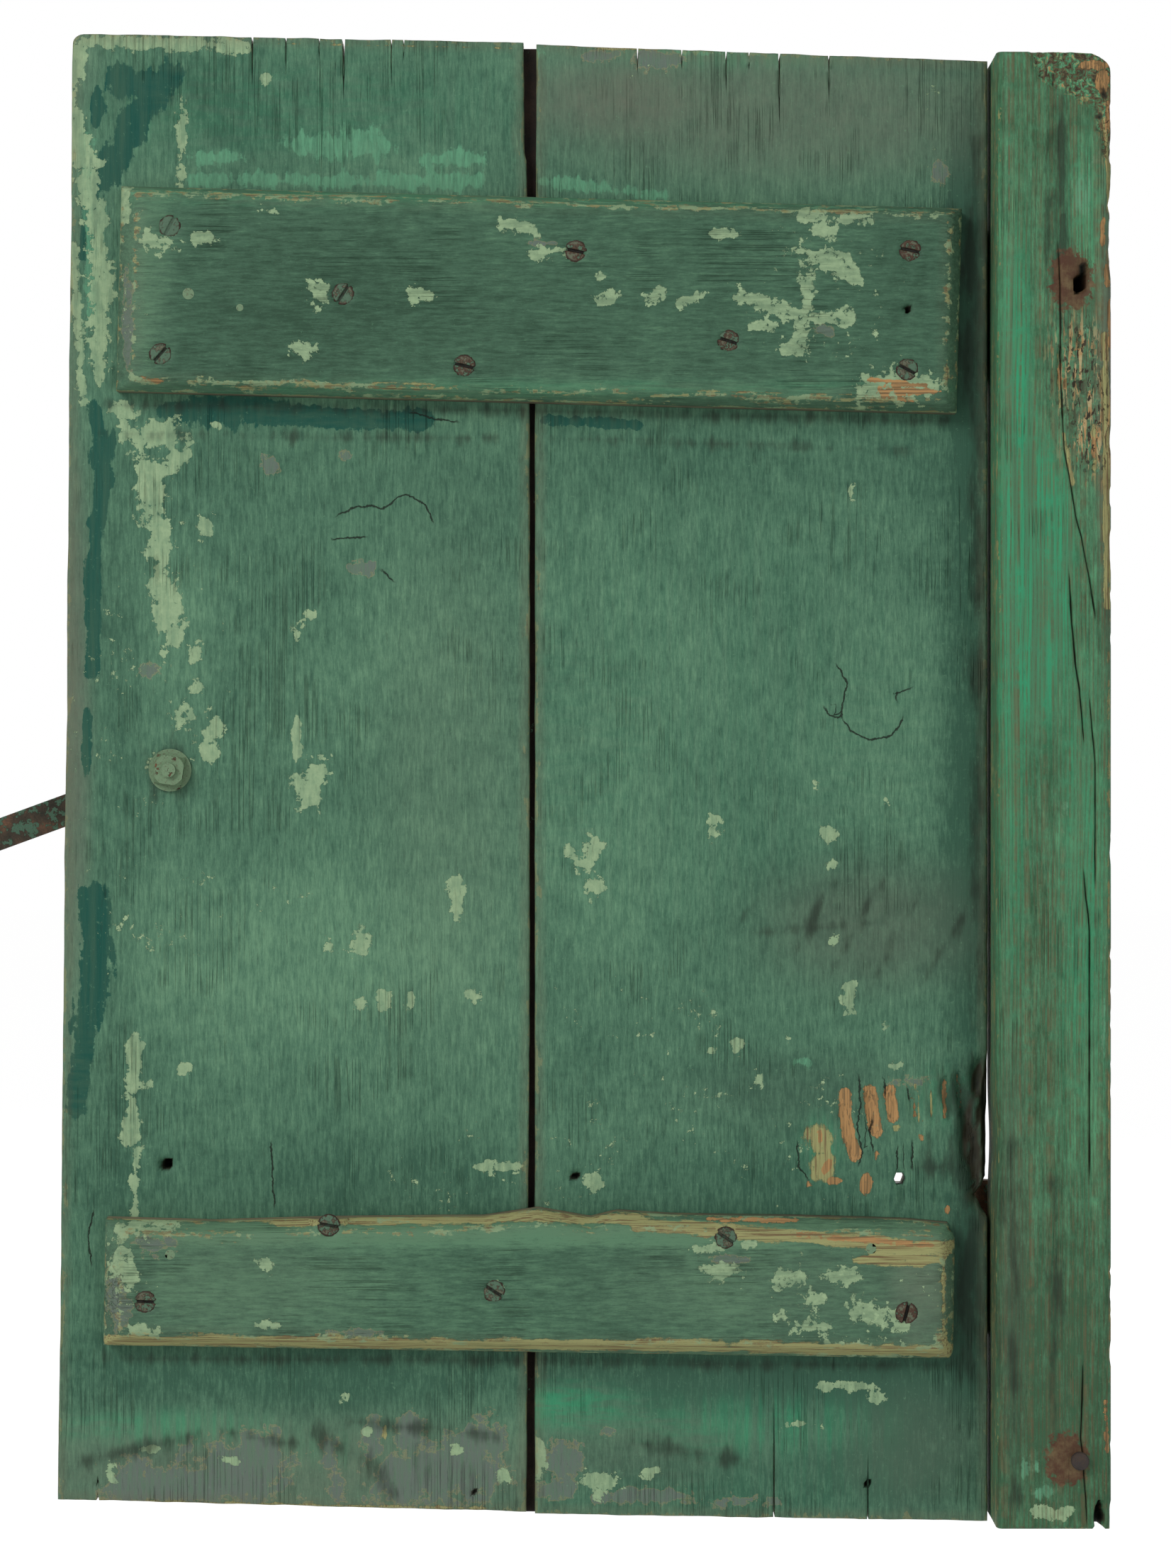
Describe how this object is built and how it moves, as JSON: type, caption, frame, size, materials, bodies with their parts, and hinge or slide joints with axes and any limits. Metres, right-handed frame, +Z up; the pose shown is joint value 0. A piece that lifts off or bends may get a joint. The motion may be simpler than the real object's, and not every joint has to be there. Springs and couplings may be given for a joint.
{
  "type": "weathered wooden door",
  "caption": "Small ledged timber hatch door in worn green paint, hung on its post by rear strap hinges, with a rusty flat bar turning on a bolt.",
  "frame": {"origin": "axis of the post's upper fixing hole, at the post's back face", "axes": "+X from the leaf towards the post, +Y from the ledge face to the hinge face, +Z up along the post"},
  "size_m": [0.6963, 0.093, 0.8405],
  "materials": {
    "board_paint": "old green paint in layers over softwood, chipped and grimy",
    "ledge_paint": "dull green paint over softwood, worn to bare wood on the arrises",
    "post_paint": "brushed bright green paint over grey-brown cracked wood",
    "painted_iron": "iron painted over in green, rust showing at the edges",
    "rusty_iron": "dark brown rust, matt and rough"
  },
  "bodies": {
    "post": {"hanging_post": "post_paint", "upper_post_plate": "rusty_iron", "lower_post_plate": "rusty_iron", "upper_hinge_pin": "rusty_iron", "lower_hinge_pin": "rusty_iron", "post_plate_screws": "rusty_iron", "post_spike": "rusty_iron"},
    "leaf": {"left_board": "board_paint", "right_board": "board_paint", "upper_ledge": "ledge_paint", "lower_ledge": "ledge_paint", "upper_ledge_screws": "painted_iron", "lower_ledge_screws": "painted_iron", "ledge_nails": "rusty_iron", "upper_strap": "rusty_iron", "lower_strap": "rusty_iron", "strap_screws": "rusty_iron", "latch_bolt": "rusty_iron", "latch_washer": "painted_iron", "latch_nut": "painted_iron"},
    "latch": {"latch_bar": "rusty_iron"}
  },
  "joints": [
    {"name": "leaf_swing", "type": "hinge", "parent": "post", "child": "leaf", "pos_m": [-0.0465, 0.0075, 0], "axis": [0, 0, -1], "range_deg": [0, 110]},
    {"name": "latch_turn", "type": "hinge", "parent": "leaf", "child": "latch", "pos_m": [-0.50875, 0.0028, -0.271], "axis": [0, -1, 0], "continuous": true}
  ]
}
